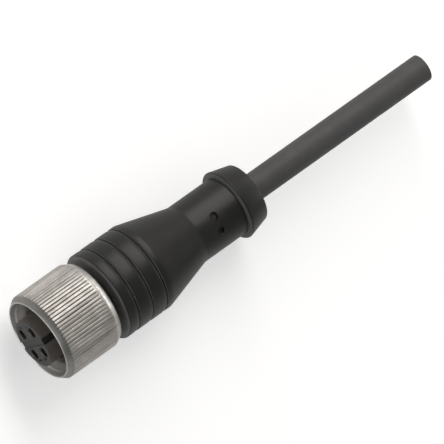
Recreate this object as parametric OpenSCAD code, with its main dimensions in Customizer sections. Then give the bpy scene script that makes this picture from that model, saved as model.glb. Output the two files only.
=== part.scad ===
// Moulded M12 female cordset end: four contacts, A coding, free-turning coupling nut.
// The origin is the middle of the contact carrier's front face. +X runs back along the
// connector and out along its cable, and +Z points at the coding key. Millimetres.

/* [Mating end] */
// Diameter of the contact carrier's plug end
plug_d = 8.2; // [8:0.05:8.4]
// Length of the plug end, from its front face back to the sealing flange
plug_l = 8.3; // [7.8:0.1:8.6]
// Width of the coding groove along the top of the plug end
key_w = 1.05; // [0.9:0.05:1.2]
// Depth of the coding groove
key_depth = 0.9; // [0.7:0.05:1]
// Depth of the channel that crosses the front face in line with the coding groove
face_channel_depth = 0.25; // [0.1:0.05:0.5]
// Diameter of the circle that the contacts stand on
contact_circle_d = 5; // [4.8:0.1:5.2]
// Diameter of the mating pin, and so of each contact's bore
pin_d = 1; // [0.95:0.01:1.05]
// Thickness of the sealing ring's section
seal_section = 1; // [0.9:0.05:1.2]

/* [Coupling nut] */
// Nominal diameter of the coupling thread
thread_d = 12; // [12:1:12]
// Pitch of the coupling thread
thread_pitch = 1; // [1:0.25:1]
// Diameter of the nut over its knurl
nut_d = 15; // [14.6:0.1:15.2]
// Length of the nut
nut_l = 10.85; // [10.5:0.05:11]
// How far the plug end stands out in front of the nut
plug_proud = 1.05; // [0.8:0.05:1.3]
// Number of grooves in the knurl
knurl_count = 78; // [60:1:90]
// Depth of the knurl's grooves
knurl_depth = 0.22; // [0.1:0.01:0.3]
// Running clearance between the nut's collar and the hub that it turns on
nut_clearance = 0.08; // [0.04:0.01:0.1]

/* [Grip] */
// Diameter of the grip over its rings
grip_d = 15.1; // [15:0.1:15.6]
// Width of the front flange of the grip
flange_w = 2.2; // [2:0.1:2.6]
// Distance from one ring's front edge to the next one's
ring_pitch = 2.8; // [2.4:0.1:3]
// Number of rings behind the front flange
ring_count = 3; // [2:1:3]
// Height of the step at each ring's front edge
ring_step = 0.33; // [0.1:0.01:0.5]
// Length over which a ring rounds down to the next one's step
ring_round = 0.9; // [0.5:0.1:1.4]
// Length of the grip's cone
cone_l = 9; // [8:0.5:10]
// Diameter of the neck
neck_d = 10.14; // [9.6:0.02:10.6]
// Length of the neck
neck_l = 8.5; // [8:0.5:9]
// Diameter of the end collar at its front
collar_d = 12.1; // [11.6:0.1:12.6]
// Diameter of the end collar at its rear
collar_rear_d = 10.06; // [9.6:0.02:10.6]
// Length of the end collar
collar_l = 3.9; // [3.5:0.1:4.3]
// Diameters of the two small recesses in the neck
recess_ds = [1.3, 1.1];
// Angles of the two recesses round the neck, measured from the coding key
recess_angles = [-8, 22];

/* [Cable] */
// Outer diameter of the cable's jacket
cable_d = 4.6; // [4.4:0.1:4.8]
// Diameter of the hollow in the jacket
jacket_bore_d = 3.2; // [3.2:0.05:3.4]
// Diameter of one wire over its insulation
wire_d = 1.25; // [1.1:0.01:1.26]
// Diameter of one wire's copper conductor
conductor_d = 0.74; // [0.5:0.01:0.8]

/* [Hidden] */

ROUND = 120;        // facets of a large turned surface
SMALL_ROUND = 48;   // facets of a wire, a contact or a recess
CUT = 0.5;          // how far a cutting tool runs past the face that it cuts
SKIN = 0.01;        // gap that keeps a moulded piece off what it is moulded round

plug_r = plug_d / 2;
seal_seat_r = plug_r + 0.2;     // raised land that the sealing ring is stretched on
seal_seat_front = 7;
flange_r = 5.3;     // slips through the nut's thread, and is wider than its collar
flange_l = 1.4;
flange_back = plug_l + flange_l;
barrel_r = 3.7;     // rear part of the contact carrier, inside the inner mould
barrel_end = 12.5;

// Contacts: stations along X of the steps of one turned contact
contact_r = 0.75;
contact_collar_r = 1;
contact_front = 0.8;
contact_bore_end = 5.8;
contact_slot_end = 4.8;
contact_slot_w = 0.25;
contact_collar = [6.6, 7.4];
crimp_start = 11.5;
crimp_end = 14.5;
chamber_r = 0.82;           // hole in the carrier round the contact's springs
mouth_r = 1;                // lead-in at the front face
contact_angles = [-45, 45, 135, -135];

// Nut: stations along X and radii of the turned blank
nut_front = plug_proud;
nut_back = nut_front + nut_l;
nut_r = nut_d / 2;
thread_r = thread_d / 2;
thread_minor_r = thread_r - 0.5413 * thread_pitch;
lip_in_r = 6.66;
lip_out_r = 6.8;
plain_r = nut_r + 0.02;         // plain edge in front of the knurl and behind it
knurl = [2.14, 10.7];
chamfers = [2.02, 10.82];       // where the front chamfer ends and the rear one begins
nut_back_r = 6.95;
relief = [8.6, 9.8];            // thread run-out groove, in front of the collar
relief_r = 6.1;
hub_r = 4.82;                   // the inner mould's hub, which carries the nut
nut_collar_r = hub_r + nut_clearance;

// Inner mould: stations along X
rib = [14.8, 16.6];
rib_r = 5.8;
taper_start = 21.5;
mould_end = 27;
mould_end_r = 3.4;

// Grip: stations along X
grip_r = grip_d / 2;
flange_front = 13.2;
first_ring = flange_front + flange_w;
ring_fronts = [for (i = [0 : ring_count - 1]) first_ring + i * ring_pitch];
cone_start = ring_fronts[ring_count - 1] + 1;
cone_end = cone_start + cone_l;
collar_front = cone_end + neck_l;
grip_back = collar_front + collar_l;
neck_r = neck_d / 2;
recess_x = 34.6;
recess_depth = 0.5;

// Cable: the jacket's route, and the bends that bring each wire from its contact to the core
route = [
    [24, 0, 0], [28, 0, 0], [32, 0, 0], [36, 0, 0], [40, 0, 0], [43.5, 0, 0], [47, 0, 0], [50.5, 0, 0],
    [54, 0, 0], [58, 0, 0], [62, 0, 0], [66, 0, 0], [70, 0, 0], [73, 0, 0], [76.5, 0, 0], [80, 0, 0]
];
ring_every = 3;             // the plain tube has a ring at every third point of the route
jacket_sides = 12;
cable_end = route[len(route) - 1][0];
bundle_r = 0.9;             // radius of the circle that the four wires lie on in the jacket
bend = [16, 22];            // stations of the wires' S-bend
wire_sides = 8;

// A turned solid: each point of the outline is [radius, station along X]
module turned(outline, facets = ROUND) {
    rotate([0, 90, 0])
        rotate_extrude($fn = facets)
            polygon(outline);
}

// A round bar or cutter from one station along X to another
module bar(radius, from, to, facets = SMALL_ROUND) {
    translate([from, 0, 0])
        rotate([0, 90, 0])
            cylinder(r = radius, h = to - from, $fn = facets);
}

// Sets its child beside the axis, at an angle from the key and a distance out
module at_angle(angle, out) {
    rotate([angle, 0, 0])
        translate([0, 0, out])
            children();
}

module at_contact(i) {
    at_angle(contact_angles[i], contact_circle_d / 2)
        children();
}

// Coupling nut: turned and knurled, with the thread's core diameter as its bore
function knurl_point(radius, turn) =
    let (angle = 360 * turn / knurl_count)
    [radius * cos(angle), radius * sin(angle)];

knurl_outline = [
    for (i = [0 : knurl_count - 1])
        for (corner = [[nut_r, 0.18], [nut_r, 0.82], [nut_r - knurl_depth, 1]])
            knurl_point(corner[0], i + corner[1])
];

module knurl_band() {
    translate([knurl[0], 0, 0])
        rotate([0, 90, 0])
            linear_extrude(knurl[1] - knurl[0])
                polygon(knurl_outline);
}

module nut_blank() {
    core_r = nut_r - 2 * knurl_depth;
    turned([
        [0, nut_front], [lip_out_r, nut_front],
        [plain_r, chamfers[0]], [plain_r, knurl[0]], [core_r, knurl[0]], [core_r, knurl[1]],
        [plain_r, knurl[1]], [plain_r, chamfers[1]], [nut_back_r, nut_back], [0, nut_back]
    ]);
}

module nut_hollow() {
    countersink_depth = lip_in_r - thread_minor_r;
    edge = 0.2;
    turned([
        [0, nut_front - CUT], [lip_in_r + CUT, nut_front - CUT],
        [thread_minor_r, nut_front + countersink_depth],
        [thread_minor_r, relief[0]], [relief_r, relief[0] + relief_r - thread_minor_r],
        [relief_r, relief[1]], [nut_collar_r, relief[1]],
        [nut_collar_r, nut_back - edge], [nut_collar_r + edge + CUT, nut_back + CUT],
        [0, nut_back + CUT]
    ]);
}

module coupling_nut() {
    color([0.70, 0.67, 0.64])
        difference() {
            union() {
                nut_blank();
                knurl_band();
            }
            nut_hollow();
        }
}

// Contact carrier: plug end, sealing flange and rear barrel, with four contact chambers
module key_cutter(floor_z, depth) {
    translate([-CUT, -key_w / 2, floor_z])
        cube([CUT + depth, key_w, plug_d - floor_z]);
}

module contact_chamber() {
    turned([
        [0, -CUT], [mouth_r + CUT, -CUT], [chamber_r, mouth_r - chamber_r],
        [chamber_r, contact_collar[0]], [contact_collar_r + SKIN, contact_collar[0]],
        [contact_collar_r + SKIN, contact_collar[1] + SKIN], [contact_r + SKIN, contact_collar[1] + SKIN],
        [contact_r + SKIN, barrel_end + CUT], [0, barrel_end + CUT]
    ], SMALL_ROUND);
}

module contact_carrier() {
    rim = 0.12;
    color([0.10, 0.10, 0.11])
        difference() {
            turned([
                [0, 0], [plug_r - rim, 0], [plug_r, rim], [plug_r, seal_seat_front],
                [seal_seat_r, seal_seat_front], [seal_seat_r, plug_l], [flange_r, plug_l], [flange_r, flange_back],
                [barrel_r, flange_back], [barrel_r, barrel_end], [0, barrel_end]
            ]);
            key_cutter(plug_r - key_depth, seal_seat_front);
            key_cutter(-plug_d, face_channel_depth);
            for (i = [0 : 3])
                at_contact(i)
                    contact_chamber();
        }
}

// One turned contact: slotted spring socket in front, locating collar, crimp barrel behind
module contact_socket(i) {
    pin_r = pin_d / 2;
    lead_in = 0.12;
    conductor_r = conductor_d / 2;
    color([0.83, 0.66, 0.32])
        at_contact(i)
            difference() {
                turned([
                    [0, contact_front], [contact_r, contact_front],
                    [contact_r, contact_collar[0]], [contact_collar_r, contact_collar[0]],
                    [contact_collar_r, contact_collar[1]], [contact_r, contact_collar[1]],
                    [contact_r, crimp_end], [0, crimp_end]
                ], SMALL_ROUND);
                turned([
                    [0, contact_front - CUT], [pin_r + lead_in + CUT, contact_front - CUT],
                    [pin_r, contact_front + lead_in], [pin_r, contact_bore_end], [0, contact_bore_end + pin_r / 2]
                ], SMALL_ROUND);
                bar(conductor_r + SKIN, crimp_start, crimp_end + CUT);
                translate([contact_front - CUT, -contact_slot_w / 2, -contact_r - CUT])
                    cube([contact_slot_end - contact_front + CUT, contact_slot_w, 2 * (contact_r + CUT)]);
            }
}

// Sealing ring: round section, stretched a little on the plug end in front of the flange
module sealing_ring() {
    stretch = 0.04;
    section_r = seal_section / 2;
    color([0.16, 0.16, 0.16])
        translate([plug_l - section_r, 0, 0])
            rotate([0, 90, 0])
                rotate_extrude($fn = ROUND)
                    translate([seal_seat_r - stretch + section_r, 0])
                        circle(r = section_r, $fn = SMALL_ROUND);
}

// Inner mould: locks contacts, wires and jacket together, and its hub carries the nut
function mould_outline(gap) = [
    [0, flange_back + SKIN], [hub_r + gap, flange_back + SKIN],
    [hub_r + gap, rib[0] - gap], [rib_r + gap, rib[0] - gap],
    [rib_r + gap, rib[1] + gap], [hub_r + gap, rib[1] + gap],
    [hub_r + gap, taper_start], [mould_end_r + gap, mould_end + gap], [0, mould_end + gap]
];

// Tapered room for the four wires, from the crimp barrels to the jacket
module wire_chamber() {
    room = wire_d / 2 + 2 * SKIN;
    turned([
        [0, crimp_end], [contact_circle_d / 2 + room, crimp_end], [contact_circle_d / 2 + room, bend[0] + 1],
        [bundle_r + room + 0.2, bend[1]], [bundle_r + room, route[0][0]], [0, route[0][0]]
    ]);
}

module inner_mould() {
    color([0.12, 0.12, 0.12])
        difference() {
            turned(mould_outline(0));
            bar(barrel_r + SKIN, flange_back - CUT, barrel_end + SKIN, ROUND);
            bar(cable_d / 2 + SKIN, route[0][0] - SKIN, mould_end + CUT, ROUND);
            wire_chamber();
            for (i = [0 : 3])
                at_contact(i)
                    bar(contact_r + SKIN, barrel_end - CUT, crimp_end + CUT);
        }
}

// Grip: one soft moulding, with stepped rings, cone, neck and end collar
function ring_back(station) = [
    for (turn = [0 : 15 : 90])
        [grip_r - ring_step * (1 - cos(turn)), station - ring_round * (1 - sin(turn))]
];

function ring_outline(front, back) = concat([[grip_r, front]], ring_back(back));

grip_outline = concat(
    [[0, flange_front]],
    ring_outline(flange_front, first_ring),
    [for (i = [0 : ring_count - 2]) each ring_outline(ring_fronts[i], ring_fronts[i] + ring_pitch)],
    [
        [grip_r, ring_fronts[ring_count - 1]], [grip_r, cone_start],
        [neck_r, cone_end], [neck_r, collar_front],
        [collar_d / 2, collar_front], [collar_rear_d / 2, grip_back], [0, grip_back]
    ]
);

module neck_recess(diameter, angle) {
    at_angle(angle, neck_r - recess_depth)
        translate([recess_x, 0, 0])
            cylinder(d = diameter, h = recess_depth + CUT, $fn = SMALL_ROUND);
}

module grip_body() {
    color([0.13, 0.13, 0.13])
        difference() {
            turned(grip_outline);
            turned(mould_outline(SKIN));
            bar(cable_d / 2 + SKIN, mould_end - CUT, grip_back + CUT, ROUND);
            for (i = [0 : len(recess_ds) - 1])
                neck_recess(recess_ds[i], recess_angles[i]);
        }
}

// Rods and tubes swept along a line of points, with flat sides
function step_at(points, i) =
    points[min(i + 1, len(points) - 1)] - points[max(i - 1, 0)];

function ring_at(points, i, radius, sides) =
    let (
        ahead = step_at(points, i) / norm(step_at(points, i)),
        side = cross([0, 0, 1], ahead) / norm(cross([0, 0, 1], ahead)),
        up = cross(ahead, side)
    )
    [
        for (k = [0 : sides - 1])
            let (angle = 360 * k / sides)
            points[i] + radius * (cos(angle) * side + sin(angle) * up)
    ];

function rings_along(points, radius, sides) = [
    for (i = [0 : len(points) - 1]) each ring_at(points, i, radius, sides)
];

function wall_faces(rings, sides, first) = [
    for (i = [0 : rings - 2])
        for (k = [0 : sides - 1])
            let (next = (k + 1) % sides, here = first + i * sides)
            [here + k, here + sides + k, here + sides + next, here + next]
];

function turned_over(faces) = [
    for (face = faces) [for (i = [len(face) - 1 : -1 : 0]) face[i]]
];

module swept_rod(points, radius, sides) {
    rings = len(points);
    cap = [for (k = [0 : sides - 1]) k];
    polyhedron(
        rings_along(points, radius, sides),
        concat(
            wall_faces(rings, sides, 0),
            [cap],
            turned_over([[for (k = cap) (rings - 1) * sides + k]])
        )
    );
}

module swept_tube(points, outer_r, bore_r, sides) {
    rings = len(points);
    inner = rings * sides;
    last = (rings - 1) * sides;
    end_faces = [
        for (k = [0 : sides - 1])
            let (next = (k + 1) % sides)
            [k, next, inner + next, inner + k]
    ];
    polyhedron(
        concat(rings_along(points, outer_r, sides), rings_along(points, bore_r, sides)),
        concat(
            wall_faces(rings, sides, 0),
            turned_over(wall_faces(rings, sides, inner)),
            end_faces,
            turned_over([for (face = end_faces) [for (corner = face) last + corner]])
        )
    );
}

// Cable jacket: a plain tube on the route's own points
module cable_jacket() {
    color([0.22, 0.22, 0.22])
        swept_tube(
            [for (i = [0 : ring_every : len(route) - 1]) route[i]],
            cable_d / 2, jacket_bore_d / 2, jacket_sides
        );
}

// Wires: a copper conductor in a coloured insulation, each on the line from its contact's crimp
// barrel through an S-bend down to the bundle in the jacket
function wire_out(x) =
    let (t = min(max((x - bend[0]) / (bend[1] - bend[0]), 0), 1))
    bundle_r + (contact_circle_d / 2 - bundle_r) * (1 + cos(180 * t)) / 2;

function wire_line(i, from) =
    let (
        bend_step = (bend[1] - bend[0]) / 6,
        stations = concat([from], [for (x = [bend[0] : bend_step : bend[1] + CUT]) x], [route[0][0], cable_end])
    )
    [
        for (x = stations)
            [x, -wire_out(x) * sin(contact_angles[i]), wire_out(x) * cos(contact_angles[i])]
    ];

module insulation(i, shade) {
    color(shade)
        swept_tube(wire_line(i, crimp_end + SKIN), wire_d / 2, conductor_d / 2 + SKIN, wire_sides);
}

module conductor(i) {
    color([0.78, 0.45, 0.28])
        swept_rod(wire_line(i, crimp_start + CUT), conductor_d / 2, wire_sides);
}

coupling_nut();
contact_carrier();
contact_socket(0);  // contact_1
contact_socket(1);  // contact_2
contact_socket(2);  // contact_3
contact_socket(3);  // contact_4
sealing_ring();
inner_mould();
grip_body();
cable_jacket();
insulation(0, [0.40, 0.22, 0.12]);  // insulation_brown
insulation(1, [0.90, 0.90, 0.88]);  // insulation_white
insulation(2, [0.12, 0.25, 0.60]);  // insulation_blue
insulation(3, [0.08, 0.08, 0.08]);  // insulation_black
conductor(0);  // conductor_brown
conductor(1);  // conductor_white
conductor(2);  // conductor_blue
conductor(3);  // conductor_black
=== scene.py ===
import math

import bmesh
import bpy
from mathutils import Matrix, Vector


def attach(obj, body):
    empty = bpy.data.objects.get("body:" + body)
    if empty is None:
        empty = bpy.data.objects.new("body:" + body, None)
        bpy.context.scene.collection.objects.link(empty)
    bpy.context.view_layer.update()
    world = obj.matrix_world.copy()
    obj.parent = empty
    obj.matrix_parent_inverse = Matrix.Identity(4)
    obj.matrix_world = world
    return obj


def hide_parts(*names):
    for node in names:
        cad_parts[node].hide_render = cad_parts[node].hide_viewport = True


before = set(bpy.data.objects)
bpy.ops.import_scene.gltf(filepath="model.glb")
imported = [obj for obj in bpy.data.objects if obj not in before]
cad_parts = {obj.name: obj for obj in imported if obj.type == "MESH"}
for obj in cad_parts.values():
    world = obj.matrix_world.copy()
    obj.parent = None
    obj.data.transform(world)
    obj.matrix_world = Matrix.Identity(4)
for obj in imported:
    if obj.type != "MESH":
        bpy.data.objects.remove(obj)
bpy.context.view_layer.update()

# Conductors
# Each wire's conductor is nineteen fine bare copper strands, laid up with a twist. It is crimped in the barrel of
# its contact, bends in towards the axis, and runs on through the cable to a cut end.
MM = 0.001
ON_CIRCLE = 2.5
IN_BUNDLE = 0.9
WIRE_ANGLES = {"brown": -45, "white": 45, "blue": 135, "black": -135}
S_BEND = (16, 22)
CONDUCTOR_START = 12.0
STRAND_RADIUS = 0.074
TURNS_PER_METRE = 55.0
CABLE_END = 80.0


def about_axis(angle, out, station=0.0):
    """A point at an angle from the coding key and a distance from the axis, in millimetres, as metres."""
    turn = math.radians(angle)
    return Vector((station, -out * math.sin(turn), out * math.cos(turn))) * MM


def wire_line(colour, start):
    """The middle line of one wire: straight behind its contact, an S-bend, and straight on in the bundle."""
    bends = [S_BEND[0] + (S_BEND[1] - S_BEND[0]) * i / 12 for i in range(13)]
    points = []
    for station in [start, *bends, *range(24, 79, 3), CABLE_END]:
        done = min(max((station - S_BEND[0]) / (S_BEND[1] - S_BEND[0]), 0), 1)
        out = IN_BUNDLE + (ON_CIRCLE - IN_BUNDLE) * (1 + math.cos(math.pi * done)) / 2
        points.append(about_axis(WIRE_ANGLES[colour], out, station))
    return points


class Signal:
    """A socket of a node tree that works in Python expressions: each operator adds a Math node."""

    def __init__(self, tree, socket=None):
        self.tree, self.socket = tree, socket

    def node(self, kind, settings=(), sockets=(), out=0):
        """Add a node: its settings are made first, then its sockets get their values or links."""
        node = self.tree.nodes.new(kind)
        for name, value in dict(settings).items():
            setattr(node, name, value)
        for name, value in dict(sockets).items():
            socket = node.inputs[name]
            if isinstance(value, Signal):
                self.tree.links.new(value.socket, socket)
            elif socket.type == "RGBA" and len(value) == 3:
                socket.default_value = (*value, 1)
            elif socket.type == "VECTOR" and isinstance(value, (int, float)):
                socket.default_value = (value, value, value)
            else:
                socket.default_value = value
        return Signal(self.tree, node.outputs[out] if node.outputs else None)

    def maths(self, operation, *values):
        """A Math node, or a Vector Math node where a value is a vector."""
        signals = [value for value in values if isinstance(value, Signal)]
        vector = any(signal.socket.type in ("VECTOR", "RGBA") for signal in signals)
        kind = "ShaderNodeVectorMath" if vector else "ShaderNodeMath"
        return self.node(kind, {"operation": operation}, dict(enumerate(values)))

    def mix(self, first, second):
        """A colour that goes from the first to the second as this signal goes from 0 to 1."""
        settings = {"data_type": "RGBA"}
        return self.node("ShaderNodeMix", settings, {0: self, 6: first, 7: second}, out=2)

    def within(self, low, high):
        """0 below the low value, 1 above the high one, and even between them."""
        settings = {"clamp": True}
        sockets = {"Value": self, "From Min": low, "From Max": high}
        return self.node("ShaderNodeMapRange", settings, sockets)

    def __add__(self, other):
        return self.maths("ADD", self, other)

    def __radd__(self, other):
        return self.maths("ADD", other, self)

    def __sub__(self, other):
        return self.maths("SUBTRACT", self, other)

    def __rsub__(self, other):
        return self.maths("SUBTRACT", other, self)

    def __mul__(self, other):
        return self.maths("MULTIPLY", self, other)

    def __rmul__(self, other):
        return self.maths("MULTIPLY", other, self)

    def __truediv__(self, other):
        return self.maths("DIVIDE", self, other)

    def __gt__(self, other):
        return self.maths("GREATER_THAN", self, other)

    def __lt__(self, other):
        return self.maths("LESS_THAN", self, other)

    def __abs__(self):
        return self.maths("ABSOLUTE", self)


def new_rule(name, inputs):
    """A Geometry Nodes tree with named inputs, and a Signal for each of them."""
    tree = bpy.data.node_groups.new(name, "GeometryNodeTree")
    tree.interface.new_socket("Geometry", in_out="INPUT", socket_type="NodeSocketGeometry")
    for label, kind in inputs.items():
        tree.interface.new_socket(label, in_out="INPUT", socket_type=f"NodeSocket{kind}")
    tree.interface.new_socket("Geometry", in_out="OUTPUT", socket_type="NodeSocketGeometry")
    start = tree.nodes.new("NodeGroupInput")
    labels = ["Geometry", *inputs]
    return tree, {label: Signal(tree, start.outputs[i]) for i, label in enumerate(labels)}


def end_rule(shape, material):
    """Make a tree's instances real, give the result its material, and send it out."""
    real = shape.node("GeometryNodeRealizeInstances", {}, {0: shape})
    dressed = real.node("GeometryNodeSetMaterial", {}, {0: real, "Material": material})
    end = dressed.tree.nodes.new("NodeGroupOutput")
    dressed.tree.links.new(dressed.socket, end.inputs[0])


def plain_mesh(piece):
    """A piece's evaluated shape as a plain mesh object of the same name, without its modifiers."""
    evaluated = piece.evaluated_get(bpy.context.evaluated_depsgraph_get())
    mesh = bpy.data.meshes.new_from_object(evaluated)
    name = piece.name
    bpy.data.objects.remove(piece)
    result = bpy.data.objects.new(name, mesh)
    bpy.context.collection.objects.link(result)
    return result


def follow_rule(piece, tree, values):
    """Run a Geometry Nodes tree on a piece, with its inputs set by identifier, and keep the plain mesh."""
    modifier = piece.modifiers.new(tree.name, "NODES")
    modifier.node_group = tree
    for item in tree.interface.items_tree:
        if item.in_out == "INPUT" and item.name in values:
            modifier[item.identifier] = values[item.name]
    return plain_mesh(piece)


def line_object(name, points):
    """A curve object of one open, straight-sided spline through the points."""
    curve = bpy.data.curves.new(name, "CURVE")
    curve.dimensions = "3D"
    spline = curve.splines.new("POLY")
    spline.points.add(len(points) - 1)
    for place, point in zip(spline.points, points):
        place.co = (*point, 1)
    piece = bpy.data.objects.new(name, curve)
    bpy.context.collection.objects.link(piece)
    return piece


def new_finish(name):
    """A material with an empty tree, and a Signal of its Object coordinates."""
    material = bpy.data.materials.new(name)
    material.use_nodes = True
    material.node_tree.nodes.clear()
    return material, Signal(material.node_tree).node("ShaderNodeTexCoord", out="Object")


def cover(place, sockets):
    """End a material's tree in a Principled shader with these sockets."""
    shader = place.node("ShaderNodeBsdfPrincipled", {}, sockets)
    shader.node("ShaderNodeOutputMaterial", {}, {"Surface": shader})


def noise(place, size, detail=2.0):
    """Cloudy noise whose blotches are about this many millimetres across."""
    sockets = {"Vector": place, "Scale": 1 / (size * MM), "Detail": detail}
    return place.node("ShaderNodeTexNoise", {}, sockets)


def relief(height, depth):
    """A normal that shows a height from 0 to 1 as a relief this many millimetres deep."""
    sockets = {"Height": height, "Distance": depth * MM, "Strength": 1.0}
    return height.node("ShaderNodeBump", {}, sockets)


def fit(piece, material, slot, body, *nodes, crease=35):
    """Finish a piece: material, soft shading up to a crease angle, its body, and the CAD nodes it stands for."""
    piece.data.materials.clear()
    piece.data.materials.append(material)
    for face in piece.data.polygons:
        face.use_smooth = True
        face.material_index = 0
    piece.data.set_sharp_from_angle(angle=math.radians(crease))
    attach(piece, body)
    if nodes:
        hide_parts(*nodes)


bare_copper, place = new_finish("bare_copper")
tarnish = noise(place, 0.4, detail=3).within(0.35, 0.7)
cover(place, {
    "Base Color": tarnish.mix((0.86, 0.42, 0.24), (0.55, 0.24, 0.13)),
    "Metallic": 1.0,
    "Roughness": 0.22 + 0.2 * tarnish,
    "Normal": relief(noise(place, 0.05), 0.003),
})

strands, given = new_rule("laid_strands", {
    "Strand Radius": "Float", "Turns per Metre": "Float", "Copper": "Material",
})
strand_radius = given["Strand Radius"]
one_strand = strand_radius.node("GeometryNodeCurvePrimitiveCircle", {}, {"Resolution": 6, "Radius": strand_radius})
section = strand_radius.node("GeometryNodeJoinGeometry")
strands.links.new(one_strand.socket, section.socket.node.inputs[0])
for count, out in ((6, 2), (12, 3.95)):
    ring = strand_radius.node("GeometryNodeMeshCircle", {}, {"Vertices": count, "Radius": out * strand_radius})
    laid = ring.node("GeometryNodeInstanceOnPoints", {}, {"Points": ring, "Instance": one_strand})
    real = laid.node("GeometryNodeRealizeInstances", {}, {0: laid})
    strands.links.new(real.socket, section.socket.node.inputs[0])
along = section.node("GeometryNodeResampleCurve", {}, {"Curve": given["Geometry"], "Count": 56})
distance = along.node("GeometryNodeSplineParameter", out="Length")
lay = distance * given["Turns per Metre"] * math.tau
twisted = along.node("GeometryNodeSetCurveTilt", {}, {"Curve": along, "Tilt": lay})
end_rule(
    twisted.node(
        "GeometryNodeCurveToMesh", {}, {"Curve": twisted, "Profile Curve": section, "Fill Caps": True}
    ),
    given["Copper"],
)
for colour in WIRE_ANGLES:
    conductor = line_object(f"strands_{colour}", wire_line(colour, CONDUCTOR_START))
    conductor = follow_rule(conductor, strands, {
        "Strand Radius": STRAND_RADIUS * MM, "Turns per Metre": TURNS_PER_METRE, "Copper": bare_copper,
    })
    fit(conductor, bare_copper, "copper", "plug", f"conductor_{colour}")

# Wire insulation
# A thin tube of coloured vinyl is extruded over each conductor and stripped back at the contact's crimp. The
# colours are the usual ones of a four-wire sensor cable: brown, white, blue and black.
WIRE_RADIUS = 0.625
WIRE_BORE = 0.38
STRIPPED_END = 14.51


def swept(name, line, outer, bore, sides):
    """A round tube along a line of points, with its two cut ends closed to its bore and slightly broken edges."""
    mesh = bmesh.new()
    rings = []
    edge = 0.06 * (outer - bore)
    last = len(line) - 1
    inset = (line[1] - line[0]).normalized() * edge * MM, (line[last - 1] - line[last]).normalized() * edge * MM
    layers = [(line[0], 0, bore), (line[0], 0, outer - edge), (line[0] + inset[0], 0, outer)]
    layers += [(line[i], i, outer) for i in range(1, last)]
    layers += [(line[last] + inset[1], last, outer), (line[last], last, outer - edge), (line[last], last, bore)]
    layers += [(line[i], i, bore) for i in range(last - 1, 0, -1)]
    for middle, i, radius in layers:
        ahead = (line[min(i + 1, last)] - line[max(i - 1, 0)]).normalized()
        side = Vector((0, 0, 1)).cross(ahead).normalized()
        up = ahead.cross(side)
        turns = [math.tau * k / sides for k in range(sides)]
        rings.append([
            mesh.verts.new(middle + radius * MM * (math.cos(turn) * side + math.sin(turn) * up)) for turn in turns
        ])
    for near, far in zip(rings, rings[1:] + rings[:1]):
        for k in range(sides):
            following = (k + 1) % sides
            mesh.faces.new((near[k], near[following], far[following], far[k]))
    return mesh_object(name, mesh)


def mesh_object(name, mesh):
    """An object made from a bmesh, with its faces turned outwards."""
    bmesh.ops.recalc_face_normals(mesh, faces=mesh.faces)
    data = bpy.data.meshes.new(name)
    mesh.to_mesh(data)
    mesh.free()
    piece = bpy.data.objects.new(name, data)
    bpy.context.collection.objects.link(piece)
    return piece


vinyl_colours = {
    "brown": (0.12, 0.045, 0.018), "white": (0.75, 0.74, 0.70), "blue": (0.02, 0.09, 0.36),
    "black": (0.012, 0.012, 0.013),
}
for colour, tint in vinyl_colours.items():
    vinyl, place = new_finish(f"{colour}_vinyl")
    cloud = noise(place, 1.2)
    cover(place, {
        "Base Color": cloud.mix([0.9 * part for part in tint], [min(1.1 * part, 1) for part in tint]),
        "Roughness": 0.34 + 0.12 * cloud,
        "IOR": 1.53,
        "Normal": relief(noise(place, 0.12), 0.004),
    })
    insulation = swept(f"insulated_{colour}", wire_line(colour, STRIPPED_END), WIRE_RADIUS, WIRE_BORE, 20)
    fit(insulation, vinyl, f"{colour}_insulation", "plug", f"insulation_{colour}")

# Cable jacket
# The four wires run in an extruded polyurethane jacket, matt and dark grey, with faint lines along it from the die.
# It enters the connector through the end collar, and its other end is cut off square.
CABLE_DIAMETER = 4.6
JACKET_BORE = 3.2
CABLE_EXIT = 43.4
cable_route = [
    Vector((station * MM, 0, 0))
    for station in (24, 28, 32, 36, 40, 43.5, 47, 50.5, 54, 58, 62, 66, 70, 73, 76.5, 80)
]


def split(place):
    """The x, y and z of a place or direction."""
    separate = place.node("ShaderNodeSeparateXYZ", {}, {0: place}).socket.node
    return [Signal(place.tree, part) for part in separate.outputs]


jacket_finish, place = new_finish("jacket_polyurethane")
x, y, z = split(place)
die_place = place.node("ShaderNodeCombineXYZ", {}, {"X": 0.03 * x, "Y": y, "Z": z})
die_lines = noise(die_place, 0.18, detail=3)
grain = noise(place, 0.07, detail=3)
scuffs = noise(place, 2.5, detail=4).within(0.5, 0.72)
cover(place, {
    "Base Color": scuffs.mix((0.079, 0.077, 0.078), (0.089, 0.086, 0.086)),
    "Roughness": 0.46 + 0.12 * grain,
    "IOR": 1.36,
    "Normal": relief(0.6 * die_lines + 0.4 * grain, 0.012),
})
jacket = swept("jacket", cable_route, CABLE_DIAMETER / 2, JACKET_BORE / 2, 64)
fit(jacket, jacket_finish, "jacket_polymer", "plug", "cable_jacket")

# Contacts
# Each contact is a turned brass socket with a thin gold plating, slotted so that it grips the mating pin. A collar
# locks it in the carrier, and the barrel behind is crimped on the conductor.
gold_plate, place = new_finish("gold_plate")
turning = noise(place.node("ShaderNodeMapping", {}, {"Vector": place, "Scale": (6, 1, 1)}), 0.3, detail=2)
cover(place, {
    "Base Color": turning.mix((0.92, 0.66, 0.28), (0.83, 0.55, 0.20)),
    "Metallic": 1.0,
    "Roughness": 0.2 + 0.15 * turning,
    "Normal": relief(turning, 0.002),
})


def merged_copy(node, name):
    """A CAD node's shape as a new piece, with its loose triangles joined."""
    mesh = bmesh.new()
    mesh.from_mesh(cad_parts[node].data)
    bmesh.ops.remove_doubles(mesh, verts=mesh.verts, dist=1e-6)
    return mesh_object(name, mesh)


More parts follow.
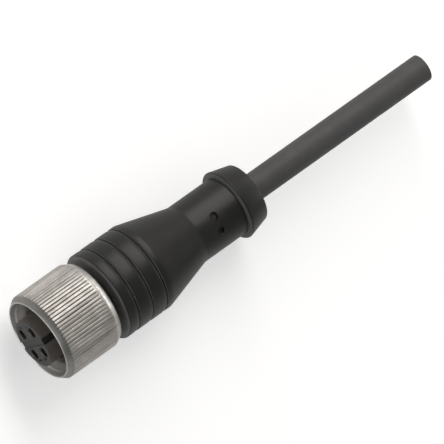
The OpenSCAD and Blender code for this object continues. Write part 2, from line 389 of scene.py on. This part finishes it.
for i in range(1, 5):
    fit(merged_copy(f"contact_{i}", f"socket_{i}"), gold_plate, "gold_plate", "plug", f"contact_{i}")

# Contact carrier
# The carrier is moulded in black glass-filled nylon, and the contacts are pressed in from behind. Its plug end has
# four flared holes, a coding groove, a shallow channel across the face and the contacts' numbers.
PLUG_RADIUS = 4.1
PLUG_LENGTH = 8.3
SEAL_LAND = (7, 4.3)
STOP_RADIUS = 5.3
STOP_BACK = 9.7
TAIL_RADIUS = 3.7
TAIL_BACK = 12.5
KEY_WIDTH = 1.05
KEY_FLOOR = PLUG_RADIUS - 0.9
CHANNEL_DEPTH = 0.25
NUMBER_PLACES = {"1": -72, "2": 72, "3": 108, "4": -108}
NUMBER_CIRCLE = 3.1


def rounded(corners):
    """An outline's points from corners of station, radius and fillet: each fillet becomes a short arc."""
    points = []
    for i, (station, radius, fillet) in enumerate(corners):
        corner = Vector((station, radius))
        if not fillet:
            points.append(corner)
            continue
        back = (Vector(corners[i - 1][:2]) - corner).normalized()
        ahead = (Vector(corners[i + 1][:2]) - corner).normalized()
        half = back.angle(ahead) / 2
        reach = fillet / math.tan(half)
        middle = corner + (back + ahead).normalized() * fillet / math.sin(half)
        first = corner + back * reach - middle
        last = corner + ahead * reach - middle
        steps = max(2, round(math.degrees(math.pi - 2 * half) / 18))
        points += [middle + fillet * first.slerp(last, step / steps) for step in range(steps + 1)]
    return points


def turned(name, outline, columns=192):
    """A solid turned round the connector's axis from an outline of stations and radii in millimetres."""
    mesh = bmesh.new()
    rings = []
    for station, radius in outline:
        angles = [360 * k / columns for k in range(columns)] if radius > 1e-6 else [0]
        rings.append([mesh.verts.new(about_axis(angle, radius, station)) for angle in angles])
    for near, far in zip(rings, rings[1:] + rings[:1]):
        if len(near) == len(far) == 1:
            continue
        for k in range(columns):
            following = (k + 1) % columns
            around = [near[k % len(near)], near[following % len(near)]]
            around += [far[following % len(far)], far[k % len(far)]]
            mesh.faces.new(list(dict.fromkeys(around)))
    return mesh_object(name, mesh)


def cut(piece, cutter):
    """Cut one solid out of another, and keep the plain mesh."""
    modifier = piece.modifiers.new("cut", "BOOLEAN")
    modifier.operation, modifier.solver, modifier.object = "DIFFERENCE", "EXACT", cutter
    result = plain_mesh(piece)
    bpy.data.objects.remove(cutter)
    return result


def trough_cutter(name, across, front, back, turn=Matrix()):
    """A cutter for a trough: half its section, as (out, up) corners from the top down, swept from front to back."""
    section = [(out, up) for out, up in across] + [(-out, up) for out, up in reversed(across)]
    mesh = bmesh.new()
    ends = [[mesh.verts.new(turn @ Vector((x, out, up)) * MM) for out, up in section] for x in (front, back)]
    for k in range(len(section)):
        following = (k + 1) % len(section)
        mesh.faces.new((ends[0][k], ends[0][following], ends[1][following], ends[1][k]))
    mesh.faces.new(ends[0])
    mesh.faces.new(ends[1])
    return mesh_object(name, mesh)


carrier = turned("plug_carrier", rounded([
    (0, 0, 0), (0, PLUG_RADIUS, 0.14), (SEAL_LAND[0], PLUG_RADIUS, 0), (SEAL_LAND[0], SEAL_LAND[1], 0),
    (PLUG_LENGTH, SEAL_LAND[1], 0), (PLUG_LENGTH, STOP_RADIUS, 0.08), (STOP_BACK, STOP_RADIUS, 0.08),
    (STOP_BACK, TAIL_RADIUS, 0), (TAIL_BACK, TAIL_RADIUS, 0), (TAIL_BACK, 0, 0),
]))
for angle in WIRE_ANGLES.values():
    chamber = turned("chamber", [
        (-0.3, 0), (-0.3, 1.12), (-0.02, 1.03), (0.06, 0.945), (0.18, 0.82), (6.6, 0.82), (6.6, 1.01),
        (7.41, 1.01), (7.41, 0.76), (12.8, 0.76), (12.8, 0),
    ], columns=64)
    chamber.data.transform(Matrix.Translation(about_axis(angle, ON_CIRCLE)))
    carrier = cut(carrier, chamber)
half_key = KEY_WIDTH / 2
carrier = cut(carrier, trough_cutter("coding_groove", [
    (half_key + 0.5, 5), (half_key + 0.5, PLUG_RADIUS + 0.4), (half_key, PLUG_RADIUS - 0.1),
    (half_key, KEY_FLOOR + 0.1), (half_key - 0.03, KEY_FLOOR + 0.03), (half_key - 0.1, KEY_FLOOR),
], -0.5, SEAL_LAND[0] - 0.01))
carrier = cut(carrier, trough_cutter("face_channel", [
    (half_key + 0.37, 0.3), (half_key + 0.07, 0), (half_key, -0.07), (half_key, -CHANNEL_DEPTH + 0.05),
    (half_key - 0.05, -CHANNEL_DEPTH),
], -5, 5, Matrix.Rotation(math.radians(-90), 3, "Y")))



def off_axis(y, z):
    """The distance from the connector's axis."""
    return y.maths("SQRT", y * y + z * z)


carrier_plastic, place = new_finish("carrier_plastic")
fibres = noise(place.node("ShaderNodeMapping", {}, {"Vector": place, "Scale": (1, 2.5, 1)}), 0.12, detail=4)
patches = noise(place, 1.5).within(0.4, 0.65)
x, y, z = split(place)
# The side of the plug end is painted paler than its face: painted light where the nut shades it.
painted_flank_light = x.within(0.05 * MM, 0.15 * MM) * off_axis(y, z).within(3.9 * MM, 4.05 * MM)
cover(place, {
    "Base Color": painted_flank_light.mix(patches.mix((0.017, 0.0165, 0.016), (0.025, 0.0241, 0.0232)), (0.11, 0.094, 0.08)),
    "Roughness": 0.36 + 0.16 * fibres,
    "IOR": 1.53,
    "Normal": relief(fibres, 0.008),
})
fit(carrier, carrier_plastic, "carrier_plastic", "plug", "contact_carrier", crease=30)

numbers = bmesh.new()
for figure, angle in NUMBER_PLACES.items():
    words = bpy.data.curves.new("number", "FONT")
    words.body, words.size, words.extrude = figure, 1.0 * MM, 0.08 * MM
    words.align_x, words.align_y = "CENTER", "CENTER"
    words.offset = 0.012 * MM
    written = bpy.data.objects.new("number", words)
    bpy.context.collection.objects.link(written)
    written = plain_mesh(written)
    facing_front = Matrix(((0, 0, -1, 0), (-1, 0, 0, 0), (0, 1, 0, 0), (0, 0, 0, 1)))
    written.data.transform(Matrix.Translation(about_axis(angle, NUMBER_CIRCLE)) @ facing_front)
    numbers.from_mesh(written.data)
    bpy.data.objects.remove(written)
bmesh.ops.remove_doubles(numbers, verts=numbers.verts, dist=1e-7)
fit(mesh_object("contact_numbers", numbers), carrier_plastic, "carrier_plastic", "plug", crease=30)

# Sealing ring
# A round ring of fluorinated rubber is stretched on the land in front of the carrier's flange, and seals
# against the mating half. A thin flash line from its mould runs round its outside.
SEAL_RADIUS = 0.5
SEAL_STRETCH = 0.04
FLASH = 0.02
seal_middle = (PLUG_LENGTH - SEAL_RADIUS, SEAL_LAND[1] - SEAL_STRETCH + SEAL_RADIUS)
section = []
for step in range(40):
    turn = math.tau * step / 40
    swell = SEAL_RADIUS + (FLASH if step == 10 else 0)
    section.append((seal_middle[0] + swell * math.cos(turn), seal_middle[1] + swell * math.sin(turn)))
seal_rubber, place = new_finish("seal_rubber")
bloom = noise(place, 0.6, detail=4).within(0.45, 0.75)
cover(place, {
    "Base Color": bloom.mix((0.014, 0.014, 0.015), (0.032, 0.031, 0.03)),
    "Roughness": 0.42 + 0.2 * bloom,
    "IOR": 1.45,
    "Normal": relief(noise(place, 0.08), 0.005),
})
fit(turned("seal", section), seal_rubber, "seal_rubber", "plug", "sealing_ring")

# Inner mould
# A first shot of stiff black plastic locks the contacts, the wires and the jacket's end together. Its hub is the
# journal that the coupling nut turns on, and its rib keys the grip that is moulded over it.
inner_plastic, place = new_finish("inner_plastic")
flow = noise(place, 0.9, detail=3)
cover(place, {
    "Base Color": flow.mix((0.014, 0.014, 0.014), (0.022, 0.022, 0.022)),
    "Roughness": 0.38 + 0.15 * flow,
    "IOR": 1.5,
    "Normal": relief(noise(place, 0.1), 0.006),
})
fit(merged_copy("inner_mould", "first_mould"), inner_plastic, "inner_plastic", "plug", "inner_mould")

# Coupling nut
# The nut is turned from brass and plated with nickel. Straight V grooves are rolled into its outside, run out
# through the front chamfer and stop at a plain rim behind. Its bore is threaded M12 x 1 up to a run-out groove.
NUT_RADIUS = 7.5
NUT_FRONT = 1.05
NUT_BACK = 11.9
HUB_BORE = 4.9
RUN_OUT_RADIUS = 6.1
GROOVE_DEPTH = 0.22
KNURL_COUNT = 78
THREAD_CREST = 5.459
THREAD_ROOT = 6.0
PITCH = 1.0


def stepped(start, end, steps):
    """Even steps from one outline point to another, with both ends."""
    return [Vector(start).lerp(Vector(end), step / steps) for step in range(steps + 1)]


nut_outline = [
    *rounded([(NUT_FRONT, 6.66, 0), (NUT_FRONT, 6.8, 0.07), (2.02, NUT_RADIUS, 0)])[:-1],
    *stepped((1.55, 7.161), (2.02, NUT_RADIUS), 5),
    *stepped((2.02, NUT_RADIUS), (10.45, NUT_RADIUS), 8)[1:],
    (10.55, NUT_RADIUS), (10.75, NUT_RADIUS), (10.85, 7.48), (11.1, 7.36), (11.2, 7.29), (11.8, 6.99),
    (11.88, 6.93), (NUT_BACK, 6.87), (NUT_BACK, HUB_BORE + 0.2), (11.7, HUB_BORE), (9.8, HUB_BORE),
    (9.8, 6.04), (9.74, RUN_OUT_RADIUS), (9.2, RUN_OUT_RADIUS), (8.64, RUN_OUT_RADIUS), (8.6, 6.06), (8.6, 5.9),
    *stepped((8.55, THREAD_CREST), (3.25, THREAD_CREST), 53), *stepped((3.2, THREAD_CREST), (1.75, 5.96), 8),
    *stepped((1.7, 6.01), (NUT_FRONT, 6.66), 8),
]
rolled, given = new_rule("knurl_and_thread", {
    "Knurl Count": "Float", "Outside Radius": "Float", "Groove Depth": "Float",
    "Thread Pitch": "Float", "Thread Crest": "Float", "Thread Root": "Float", "Nickel": "Material",
})
position = given["Geometry"].node("GeometryNodeInputPosition")
x, y, z = split(position)
radius = off_axis(y, z)
turns = y.maths("ARCTAN2", y, z) / math.tau
off_groove = 2 * abs(y.maths("FRACT", turns * given["Knurl Count"]) - 0.5)
crown = (1 - off_groove) * (1 - off_groove)
groove = (0.78 * (1 - off_groove.within(0.0, 0.25)) + 0.22 * crown) * (1 - x.within(10.4 * MM, 10.5 * MM))
knurled = y.maths("MINIMUM", radius, given["Outside Radius"] - given["Groove Depth"] * groove)
off_crest = 2 * abs(y.maths("FRACT", x / given["Thread Pitch"] - turns) - 0.5)
threaded = given["Thread Crest"] + (given["Thread Root"] - given["Thread Crest"]) * off_crest.within(0.25, 0.875)
outside = radius > 6.72 * MM
in_thread = (radius < 6.2 * MM) * (x < 8.58 * MM) * x.within(3.8 * MM, 4.8 * MM)
new_radius = outside * knurled + (1 - outside) * (
    in_thread * y.maths("MAXIMUM", radius, threaded) + (1 - in_thread) * radius
)
grown = new_radius / radius
shaped = position.node("ShaderNodeCombineXYZ", {}, {"X": x, "Y": y * grown, "Z": z * grown})
end_rule(
    position.node("GeometryNodeSetPosition", {}, {"Geometry": given["Geometry"], "Position": shaped}), given["Nickel"]
)

nickel_plate, place = new_finish("nickel_plate")
x, y, z = split(place)
from_axis = off_axis(y, z)
tool_place = place.node("ShaderNodeCombineXYZ", {}, {"X": x, "Y": from_axis, "Z": 0.0})
tool_marks = noise(tool_place, 0.05, detail=3)
handling = noise(place, 1.4, detail=5).within(0.42, 0.7)
pits = noise(place, 0.09, detail=2).within(0.62, 0.75)
# Painted shade darkens the nut's outside below the tops of the knurl: the groove floors and the chamfers.
painted_groove_shade = (from_axis > 6.9 * MM) * (1 - from_axis.within(7.28 * MM, 7.47 * MM))
streaks = noise(place.node("ShaderNodeMapping", {}, {"Vector": place, "Scale": (0.05, 1, 1)}), 0.55, detail=3)
# Painted shade darkens the front chamfer and the lead-in, and the knurl is streaked along the axis.
knurl_starts = x.within(1.9 * MM, 2.1 * MM)
painted_front_shade = (1 - knurl_starts) * (0.78 - 0.24 * from_axis.within(6.5 * MM, 6.7 * MM))
painted_shade_and_streaks = painted_front_shade + 0.5 * knurl_starts * streaks.within(0.45, 0.7)
outer = handling.mix((0.54, 0.518, 0.494), (0.47, 0.45, 0.428))
outer = (painted_shade_and_streaks + 0.1 * painted_groove_shade).within(0, 1).mix(outer, (0.14, 0.134, 0.126))
# Painted highlights brighten the lip and the rear chamfer, and painted light brightens the bore.
edges = 0.5 * (1 - x.within(1.06 * MM, 1.14 * MM)) + 0.6 * x.within(10.95 * MM, 11.05 * MM)
painted_highlights_and_bore_light = 1 - from_axis.within(5.7 * MM, 6.2 * MM) + edges
cover(place, {
    "Base Color": painted_highlights_and_bore_light.mix(outer, (0.78, 0.76, 0.73)),
    "Metallic": 1.0,
    "Roughness": 0.36 + 0.12 * knurl_starts + 0.07 * handling - 0.1 * edges,
    "Normal": relief(0.5 * tool_marks + 0.25 * handling + 0.25 * pits, 0.003),
})
nut = follow_rule(turned("knurled_nut", nut_outline, columns=10 * KNURL_COUNT), rolled, {
    "Knurl Count": float(KNURL_COUNT), "Outside Radius": NUT_RADIUS * MM, "Groove Depth": GROOVE_DEPTH * MM,
    "Thread Pitch": PITCH * MM, "Thread Crest": THREAD_CREST * MM, "Thread Root": THREAD_ROOT * MM,
    "Nickel": nickel_plate,
})
fit(nut, nickel_plate, "nickel_plate", "nut", "coupling_nut", crease=28)

# Grip
# The second shot is a softer black polyurethane, moulded over the inner mould and the cable: stepped rings for the
# fingers, a cone, a neck and an end collar. Two core pins of the mould leave small round recesses in the neck.
GRIP_RADIUS = 7.55
GRIP_FRONT = 13.2
RING_STEP = 0.27
RING_ROUND = 0.9
RING_FRONTS = (15.4, 18.2, 21.0)
CONE = (22, 31)
NECK_RADIUS = 5.07
COLLAR_FRONT = 39.5
INSIDE_RADIUS = 4.83
RIB_RADIUS = 5.81
RECESS_STATION = 34.6
RECESSES = ((-8, 0.65), (22, 0.55))


def ring_back(station):
    """The rear of one ring, rounding down to the foot of the next one's front step."""
    parts = [part / 8 for part in range(9)]
    return [Vector((station - RING_ROUND * (1 - part), GRIP_RADIUS - RING_STEP * part ** 2)) for part in parts]


ring_edge = rounded([(0, GRIP_RADIUS - RING_STEP, 0), (0, GRIP_RADIUS, 0.2), (2, GRIP_RADIUS, 0)])[1:-1]
grip_outline = rounded([(GRIP_FRONT, INSIDE_RADIUS, 0), (GRIP_FRONT, GRIP_RADIUS, 0.28), (15, GRIP_RADIUS, 0)])[:-1]
for front in RING_FRONTS:
    grip_outline += ring_back(front) + [Vector((front, 0)) + point for point in ring_edge]
grip_outline += rounded([
    (21.4, GRIP_RADIUS, 0), (CONE[0], GRIP_RADIUS, 1.5), (CONE[1], NECK_RADIUS, 1.5),
    (COLLAR_FRONT, NECK_RADIUS, 0.06), (COLLAR_FRONT, 6.05, 0.3), (CABLE_EXIT, 5.03, 0.15), (CABLE_EXIT, 2.35, 0.04),
    (27.01, 2.31, 0), (27.01, 3.41, 0), (21.5, INSIDE_RADIUS, 0), (16.61, INSIDE_RADIUS, 0), (16.61, RIB_RADIUS, 0),
    (14.79, RIB_RADIUS, 0), (14.79, INSIDE_RADIUS, 0),
])
grip = turned("grip", grip_outline, columns=240)
for angle, radius in RECESSES:
    core_pin = turned("core_pin", [
        (4.65, 0), (4.65, radius - 0.34), (4.57, radius - 0.28), (4.57, radius - 0.08), (4.65, radius),
        (4.93, radius), (5.07, radius + 0.1), (5.4, radius + 0.4), (5.4, 0),
    ], columns=48)
    upright = Matrix.Rotation(math.radians(-90), 4, "Y")
    leaning = Matrix.Rotation(math.radians(angle), 4, "X")
    core_pin.data.transform(Matrix.Translation((RECESS_STATION * MM, 0, 0)) @ leaning @ upright)
    grip = cut(grip, core_pin)

grip_polyurethane, place = new_finish("grip_polyurethane")
spark = noise(place, 0.11, detail=4)
sheen_patch = noise(place, 4.0, detail=3).within(0.35, 0.7)
dust = noise(place, 0.35, detail=5).within(0.66, 0.8)
x = split(place)[0]
# The flange's face and the narrow front faces of the rings and the collar are painted paler than the skin: painted
# light on faces that the nut and the rings' steps shade.
painted_front_face_light = 1.6 * (1 - x.within(GRIP_FRONT * MM, (GRIP_FRONT + 0.1) * MM))
for front in (*RING_FRONTS, COLLAR_FRONT):
    painted_front_face_light = painted_front_face_light + 1 - abs(x / MM - front - 0.02).within(0.03, 0.09)
painted_front_face_light = painted_front_face_light * (0.75 + 0.4 * spark)
black = (0.35 * dust + 0.3 * sheen_patch).mix((0.0075, 0.0072, 0.0069), (0.02, 0.0187, 0.0174))
cover(place, {
    "Base Color": (0.5 * painted_front_face_light).mix(black, (0.2, 0.196, 0.192)),
    "Roughness": 0.34 + 0.1 * spark + 0.04 * sheen_patch,
    "IOR": 1.42,
    "Normal": relief(spark, 0.008),
})
fit(grip, grip_polyurethane, "grip_polymer", "plug", "grip_body", crease=30)

# Studio
# The connector lies on its flange and rings on white paper that sweeps up to the horizon. A warm softbox stands at
# one upper side of it, and two low strips stand in front of the nut and behind the cable.
FLOOR = -GRIP_RADIUS * MM


def shown(place, share):
    """1 where the camera looks straight at it, and a share of that in reflections and through glass."""
    seen = place.node("ShaderNodeLightPath", out="Is Camera Ray")
    for ray in ("Is Glossy Ray", "Is Transmission Ray"):
        seen = seen.maths("MAXIMUM", seen, share * place.node("ShaderNodeLightPath", out=ray))
    return seen


floor_paper, place = new_finish("floor_paper")
fibre = noise(place, 0.8, detail=2)
paper = place.node("ShaderNodeBsdfDiffuse", {}, {"Color": fibre.mix((0.80, 0.80, 0.80), (0.83, 0.83, 0.83))})
lift = place.node("ShaderNodeEmission", {}, {"Color": (1, 1, 1), "Strength": 0.46 * shown(place, 0.35)})
both = paper.node("ShaderNodeAddShader", {}, {0: paper, 1: lift})
both.node("ShaderNodeOutputMaterial", {}, {"Surface": both})
bpy.ops.mesh.primitive_plane_add(size=4, location=(0, 0, FLOOR))
floor = bpy.context.object
floor.name = "floor"
floor.data.materials.append(floor_paper)

studio = bpy.data.worlds.new("studio")
bpy.context.scene.world = studio
studio.use_nodes = True
studio.node_tree.nodes.clear()
direction = Signal(studio.node_tree).node("ShaderNodeTexCoord", out="Generated")
axial, _, height = split(direction)
sky = 0.1 + 0.3 * axial.within(-0.7, 0.2) - 0.2 * axial.within(0.5, 0.85)
sweep = shown(direction, 0.5) * (1 - height.within(0.05, 0.2))
tint = axial.within(-0.7, 0.2).mix((0.93, 1.0, 0.96), (1.0, 0.985, 0.965))
light = height.node("ShaderNodeBackground", {}, {"Color": tint, "Strength": sky + (1 - sky) * sweep})
light.node("ShaderNodeOutputWorld", {}, {"Surface": light})


def softbox(name, direction, size, brightness, colour, distance=0.5):
    """An area light that stands off in a direction, faces the connector's body and has a set brightness."""
    lamp = bpy.data.lights.new(name, "AREA")
    lamp.shape, lamp.size, lamp.size_y = "RECTANGLE", *size
    lamp.energy, lamp.color = brightness * math.pi * size[0] * size[1], colour
    box = bpy.data.objects.new(name, lamp)
    away = Vector(direction).normalized()
    side = (Vector((1, 0, 0)) - away.x * away).normalized()
    facing = Matrix((side, away.cross(side), away)).transposed().to_4x4()
    box.matrix_world = Matrix.Translation(away * distance + Vector((20 * MM, 0, 0))) @ facing
    bpy.context.collection.objects.link(box)


softbox("key_softbox", (0.37, 0.64, 0.66), size=(0.15, 0.52), brightness=5.4, colour=(1.0, 0.97, 0.93))
softbox("front_softbox", (-0.97, 0.05, 0.2), size=(0.18, 0.5), brightness=4.0, colour=(0.97, 0.98, 1.0))
softbox("rear_softbox", (0.97, 0.03, 0.23), size=(0.12, 0.5), brightness=4.5, colour=(1.0, 0.99, 0.97))

# Camera
# A long lens looks down on the connector from in front of it, with the cable rising to the upper right.
SWING = math.radians(22.8)
KEY_LEAN = math.radians(9.5)
ROLL = math.radians(35.41)
FRAME_WIDTH = 68.5 * MM
FRAME_MIDDLE = (37.27, 1.55)
STAND_OFF = 1.5
along = Vector((1, 0, 0))
facing = Vector((0, math.sin(KEY_LEAN), math.cos(KEY_LEAN)))
beside = along.cross(facing)
towards = -math.sin(SWING) * along + math.cos(SWING) * facing
foreshortened = math.cos(SWING) * along + math.sin(SWING) * facing
right = math.cos(ROLL) * foreshortened + math.sin(ROLL) * beside
up = math.sin(ROLL) * foreshortened - math.cos(ROLL) * beside
middle = FRAME_MIDDLE[0] * MM * along + FRAME_MIDDLE[1] * MM * beside
lens = bpy.data.cameras.new("camera")
lens.sensor_width = 36
lens.lens = 36 * STAND_OFF / FRAME_WIDTH
lens.clip_start, lens.clip_end = 0.05, 20
camera = bpy.data.objects.new("camera", lens)
aimed = Matrix((right, up, towards)).transposed().to_4x4()
camera.matrix_world = Matrix.Translation(middle + STAND_OFF * towards) @ aimed
bpy.context.collection.objects.link(camera)
bpy.context.scene.camera = camera
bpy.context.scene.view_settings.view_transform = "Standard"
